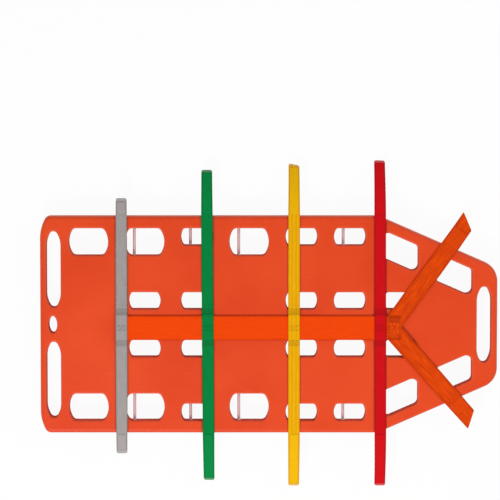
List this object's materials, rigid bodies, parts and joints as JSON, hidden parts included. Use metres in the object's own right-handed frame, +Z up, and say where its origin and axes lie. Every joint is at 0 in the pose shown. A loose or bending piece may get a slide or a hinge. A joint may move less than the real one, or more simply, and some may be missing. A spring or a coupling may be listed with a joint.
{
  "type": "spine board",
  "caption": "Short moulded spine board with tapered head end, handholds and clip pins, carrying a webbing harness with colour-coded cross straps and shoulder straps.",
  "frame": {"origin": "on the floor under the middle of the whole part", "axes": "+X to the tapered head end, +Y to the left of someone standing at the foot end and looking to the head, +Z up"},
  "size_m": [0.94, 0.676, 0.0561],
  "materials": {
    "board_plastic": "moulded polyethylene with a fine grain and scuffs",
    "pin_plastic": "smooth composite rod",
    "orange_webbing": "woven webbing",
    "grey_webbing": "woven webbing",
    "green_webbing": "woven webbing",
    "yellow_webbing": "woven webbing",
    "red_webbing": "woven webbing"
  },
  "bodies": {
    "board": {"board_shell": "board_plastic", "clip_pin_left_2": "pin_plastic", "clip_pin_left_3": "pin_plastic", "clip_pin_left_4": "pin_plastic", "clip_pin_left_5": "pin_plastic", "clip_pin_left_6": "pin_plastic", "clip_pin_right_2": "pin_plastic", "clip_pin_right_3": "pin_plastic", "clip_pin_right_4": "pin_plastic", "clip_pin_right_5": "pin_plastic", "clip_pin_right_6": "pin_plastic"},
    "harness": {"long_strap": "orange_webbing", "shoulder_yoke": "orange_webbing", "ankle_strap": "grey_webbing", "ankle_keeper": "grey_webbing"},
    "thigh_crossing": {"thigh_strap": "green_webbing", "thigh_keeper": "green_webbing"},
    "pelvis_crossing": {"pelvis_strap": "yellow_webbing", "pelvis_keeper": "yellow_webbing"},
    "chest_crossing": {"chest_strap": "red_webbing", "chest_keeper": "red_webbing"},
    "ankle_end_left": {"ankle_tail_left": "grey_webbing", "ankle_hook_strip_left": "grey_webbing"},
    "ankle_end_right": {"ankle_tail_right": "grey_webbing", "ankle_hook_strip_right": "grey_webbing"},
    "thigh_end_left": {"thigh_tail_left": "green_webbing", "thigh_hook_strip_left": "green_webbing"},
    "thigh_end_right": {"thigh_tail_right": "green_webbing", "thigh_hook_strip_right": "green_webbing"},
    "pelvis_end_left": {"pelvis_tail_left": "yellow_webbing", "pelvis_hook_strip_left": "yellow_webbing"},
    "pelvis_end_right": {"pelvis_tail_right": "yellow_webbing", "pelvis_hook_strip_right": "yellow_webbing"},
    "chest_end_left": {"chest_tail_left": "red_webbing", "chest_hook_strip_left": "red_webbing"},
    "chest_end_right": {"chest_tail_right": "red_webbing", "chest_hook_strip_right": "red_webbing"},
    "shoulder_left": {"shoulder_strap_left": "orange_webbing", "shoulder_hook_strip_left": "orange_webbing"},
    "shoulder_right": {"shoulder_strap_right": "orange_webbing", "shoulder_hook_strip_right": "orange_webbing"}
  },
  "joints": [
    {"name": "harness_lift", "type": "slide", "parent": "board", "child": "harness", "axis": [0, 0, 1], "range_m": [0, 0.3]},
    {"name": "thigh_strap_slide", "type": "slide", "parent": "harness", "child": "thigh_crossing", "axis": [1, 0, 0], "range_m": [-0.06, 0.06]},
    {"name": "pelvis_strap_slide", "type": "slide", "parent": "harness", "child": "pelvis_crossing", "axis": [1, 0, 0], "range_m": [-0.06, 0.06]},
    {"name": "chest_strap_slide", "type": "slide", "parent": "harness", "child": "chest_crossing", "axis": [1, 0, 0], "range_m": [-0.06, 0]},
    {"name": "ankle_left_fold", "type": "hinge", "parent": "harness", "child": "ankle_end_left", "pos_m": [-0.3027, 0.214, 0.05245], "axis": [1, 0, 0], "range_deg": [0, 165]},
    {"name": "ankle_right_fold", "type": "hinge", "parent": "harness", "child": "ankle_end_right", "pos_m": [-0.3027, -0.214, 0.05245], "axis": [-1, 0, 0], "range_deg": [0, 165]},
    {"name": "thigh_left_fold", "type": "hinge", "parent": "thigh_crossing", "child": "thigh_end_left", "pos_m": [-0.1254, 0.214, 0.05245], "axis": [1, 0, 0], "range_deg": [0, 165]},
    {"name": "thigh_right_fold", "type": "hinge", "parent": "thigh_crossing", "child": "thigh_end_right", "pos_m": [-0.1254, -0.214, 0.05245], "axis": [-1, 0, 0], "range_deg": [0, 165]},
    {"name": "pelvis_left_fold", "type": "hinge", "parent": "pelvis_crossing", "child": "pelvis_end_left", "pos_m": [0.0519, 0.214, 0.05245], "axis": [1, 0, 0], "range_deg": [0, 165]},
    {"name": "pelvis_right_fold", "type": "hinge", "parent": "pelvis_crossing", "child": "pelvis_end_right", "pos_m": [0.0519, -0.214, 0.05245], "axis": [-1, 0, 0], "range_deg": [0, 165]},
    {"name": "chest_left_fold", "type": "hinge", "parent": "chest_crossing", "child": "chest_end_left", "pos_m": [0.2292, 0.214, 0.05245], "axis": [1, 0, 0], "range_deg": [0, 165]},
    {"name": "chest_right_fold", "type": "hinge", "parent": "chest_crossing", "child": "chest_end_right", "pos_m": [0.2292, -0.214, 0.05245], "axis": [-1, 0, 0], "range_deg": [0, 165]},
    {"name": "shoulder_left_fold", "type": "hinge", "parent": "harness", "child": "shoulder_left", "pos_m": [0.27628, 0.03141, 0.05595], "axis": [0.808, -0.5892, 0], "range_deg": [0, 100]},
    {"name": "shoulder_right_fold", "type": "hinge", "parent": "harness", "child": "shoulder_right", "pos_m": [0.27962, -0.04073, 0.05595], "axis": [-0.7501, -0.6613, 0], "range_deg": [0, 100]}
  ]
}
